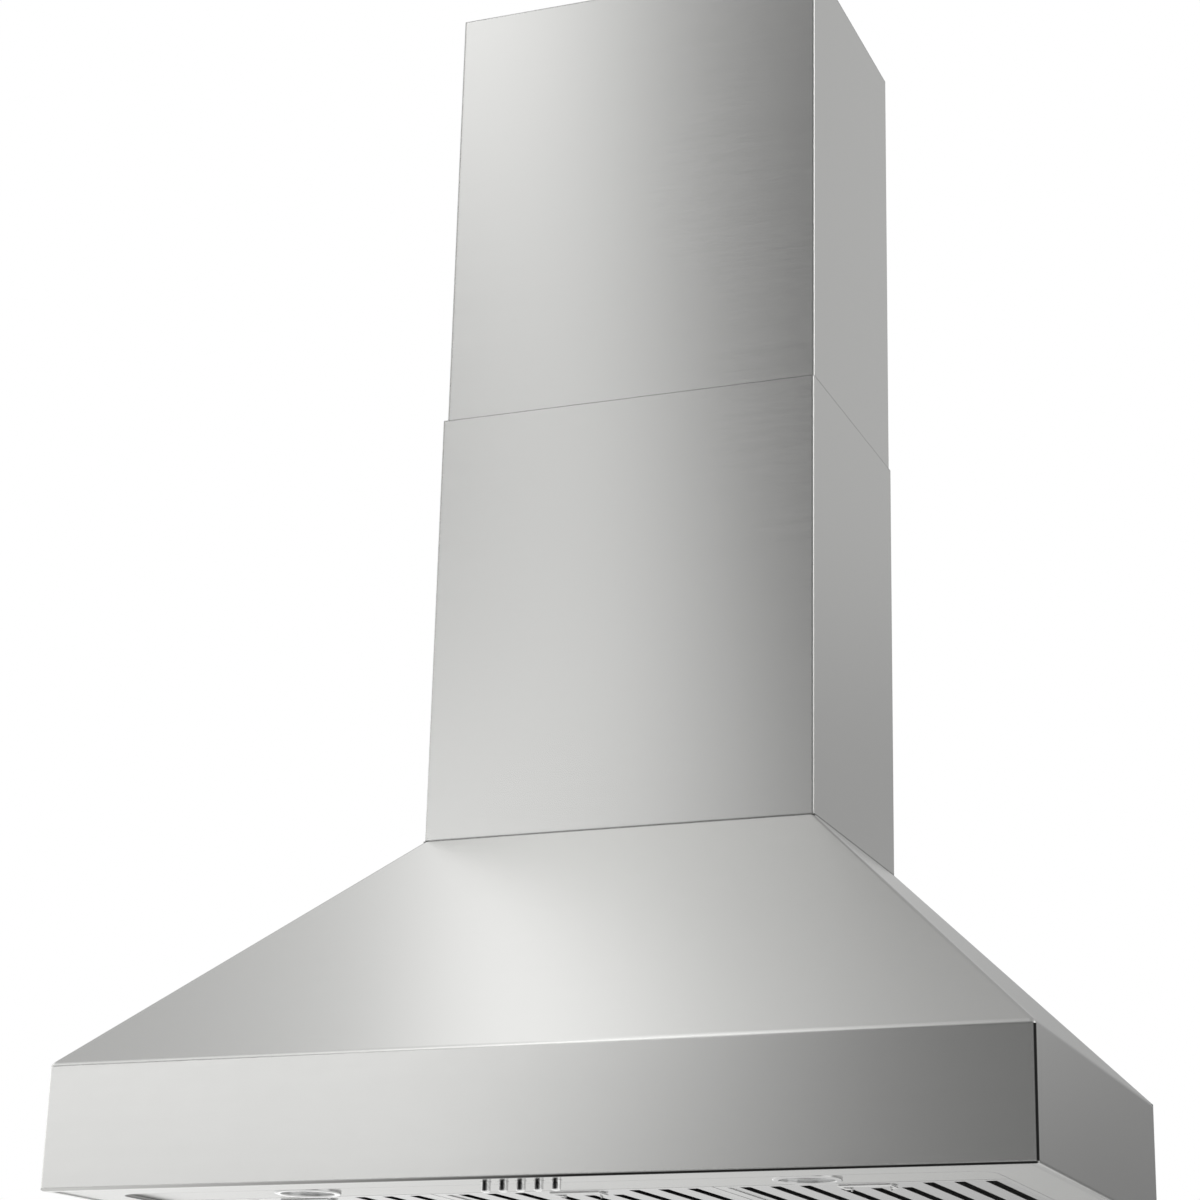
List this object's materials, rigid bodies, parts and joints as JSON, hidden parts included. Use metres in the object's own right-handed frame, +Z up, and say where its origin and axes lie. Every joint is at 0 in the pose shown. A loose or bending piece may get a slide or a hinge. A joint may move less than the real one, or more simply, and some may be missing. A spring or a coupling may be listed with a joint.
{
  "type": "chimney range hood",
  "caption": "Wall-mounted chimney range hood: sloped steel canopy with an upright rim, telescoping chimney, baffle filters, puck lights, push buttons and an inner blower.",
  "frame": {"origin": "on the wall, at the centre of the four wall screw holes in the back panel", "axes": "+Y into the wall, +Z up, +X to the right of someone facing the hood"},
  "size_m": [0.914, 0.506, 1.276],
  "materials": {
    "brushed_steel": "fine horizontal brushed grain, satin",
    "filter_steel": "smooth satin sheet",
    "baffle_steel": "satin, in shade behind the slots",
    "chrome_wire": "polished wire",
    "galvanised": "galvanised sheet, dull",
    "spring_steel": "spring steel",
    "zinc_screws": "bright zinc plate",
    "wheel_aluminium": "as rolled",
    "motor_paint": "semi-gloss black",
    "white_plastic": "moulded",
    "black_rubber": "matt",
    "chrome": "polished",
    "lens_glass": "frosted lens",
    "lamp_housing": "pressed, dull",
    "board_white": "white coated board",
    "black_plastic": "moulded",
    "button_chrome": "polished"
  },
  "bodies": {
    "canopy": {"canopy_front": "brushed_steel", "canopy_side_left": "brushed_steel", "canopy_side_right": "brushed_steel", "canopy_top": "brushed_steel", "back_panel": "galvanised", "underside_pan": "brushed_steel", "chimney_seat": "galvanised", "filter_clips": "spring_steel", "lower_chimney": "brushed_steel", "scroll_wrap": "galvanised", "scroll_side_left": "galvanised", "scroll_side_right": "galvanised", "motor": "motor_paint", "motor_bracket": "galvanised", "capacitor": "white_plastic", "capacitor_clamp": "galvanised", "collar_flange": "galvanised", "exhaust_collar": "galvanised", "damper_pin": "zinc_screws", "wiring_box": "galvanised", "wiring_box_cover": "galvanised", "cord_bushing": "black_rubber", "machine_screws": "zinc_screws", "light_bezel_left": "chrome", "light_bezel_right": "chrome", "light_lens_left": "lens_glass", "light_lens_right": "lens_glass", "light_housing_left": "lamp_housing", "light_housing_right": "lamp_housing", "led_boards": "board_white", "switch_housing": "black_plastic"},
    "upper_chimney": {"upper_chimney": "brushed_steel", "chimney_bracket": "galvanised", "bracket_screws": "zinc_screws"},
    "blower_wheel": {"impeller_disc": "wheel_aluminium", "impeller_blades": "wheel_aluminium", "motor_shaft": "zinc_screws", "shaft_nut": "zinc_screws"},
    "left_flap": {"damper_flap_left": "galvanised"},
    "right_flap": {"damper_flap_right": "galvanised"},
    "push_1": {"button_1": "button_chrome"},
    "push_2": {"button_2": "button_chrome"},
    "push_3": {"button_3": "button_chrome"},
    "push_4": {"button_4": "button_chrome"},
    "push_5": {"button_5": "button_chrome"},
    "filter_left": {"filter_frame_left": "filter_steel", "filter_face_left": "filter_steel", "filter_baffles_left": "baffle_steel", "handle_ears_left": "filter_steel"},
    "bail_left": {"filter_handle_left": "chrome_wire"},
    "filter_centre": {"filter_frame_centre": "filter_steel", "filter_face_centre": "filter_steel", "filter_baffles_centre": "baffle_steel", "handle_ears_centre": "filter_steel"},
    "bail_centre": {"filter_handle_centre": "chrome_wire"},
    "filter_right": {"filter_frame_right": "filter_steel", "filter_face_right": "filter_steel", "filter_baffles_right": "baffle_steel", "handle_ears_right": "filter_steel"},
    "bail_right": {"filter_handle_right": "chrome_wire"}
  },
  "joints": [
    {"name": "chimney_slide", "type": "slide", "parent": "canopy", "child": "upper_chimney", "axis": [0, 0, 1], "range_m": [-0.37, 0]},
    {"name": "wheel_spin", "type": "hinge", "parent": "canopy", "child": "blower_wheel", "pos_m": [0, -0.215, -0.028], "axis": [1, 0, 0], "continuous": true},
    {"name": "left_flap_pivot", "type": "hinge", "parent": "canopy", "child": "left_flap", "pos_m": [0, -0.139, 0.181], "axis": [0, 1, 0], "range_deg": [0, 75]},
    {"name": "right_flap_pivot", "type": "hinge", "parent": "canopy", "child": "right_flap", "pos_m": [0, -0.139, 0.181], "axis": [0, -1, 0], "range_deg": [0, 75]},
    {"name": "push_1_travel", "type": "slide", "parent": "canopy", "child": "push_1", "axis": [0, 0, 1], "range_m": [0, 0.003], "stiffness_N_per_m": 250, "springref_m": -0.002},
    {"name": "push_2_travel", "type": "slide", "parent": "canopy", "child": "push_2", "axis": [0, 0, 1], "range_m": [0, 0.003], "stiffness_N_per_m": 250, "springref_m": -0.002},
    {"name": "push_3_travel", "type": "slide", "parent": "canopy", "child": "push_3", "axis": [0, 0, 1], "range_m": [0, 0.003], "stiffness_N_per_m": 250, "springref_m": -0.002},
    {"name": "push_4_travel", "type": "slide", "parent": "canopy", "child": "push_4", "axis": [0, 0, 1], "range_m": [0, 0.003], "stiffness_N_per_m": 250, "springref_m": -0.002},
    {"name": "push_5_travel", "type": "slide", "parent": "canopy", "child": "push_5", "axis": [0, 0, 1], "range_m": [0, 0.003], "stiffness_N_per_m": 250, "springref_m": -0.002},
    {"name": "filter_left_drop", "type": "hinge", "parent": "canopy", "child": "filter_left", "pos_m": [-0.26967, -0.061, -0.1947], "axis": [1, 0, 0], "range_deg": [0, 75]},
    {"name": "bail_left_fold", "type": "hinge", "parent": "filter_left", "child": "bail_left", "pos_m": [-0.26967, -0.3335, -0.19645], "axis": [1, 0, 0], "range_deg": [0, 100]},
    {"name": "filter_centre_drop", "type": "hinge", "parent": "canopy", "child": "filter_centre", "pos_m": [0, -0.061, -0.1947], "axis": [1, 0, 0], "range_deg": [0, 75]},
    {"name": "bail_centre_fold", "type": "hinge", "parent": "filter_centre", "child": "bail_centre", "pos_m": [0, -0.3335, -0.19645], "axis": [1, 0, 0], "range_deg": [0, 100]},
    {"name": "filter_right_drop", "type": "hinge", "parent": "canopy", "child": "filter_right", "pos_m": [0.26967, -0.061, -0.1947], "axis": [1, 0, 0], "range_deg": [0, 75]},
    {"name": "bail_right_fold", "type": "hinge", "parent": "filter_right", "child": "bail_right", "pos_m": [0.26967, -0.3335, -0.19645], "axis": [1, 0, 0], "range_deg": [0, 100]}
  ]
}
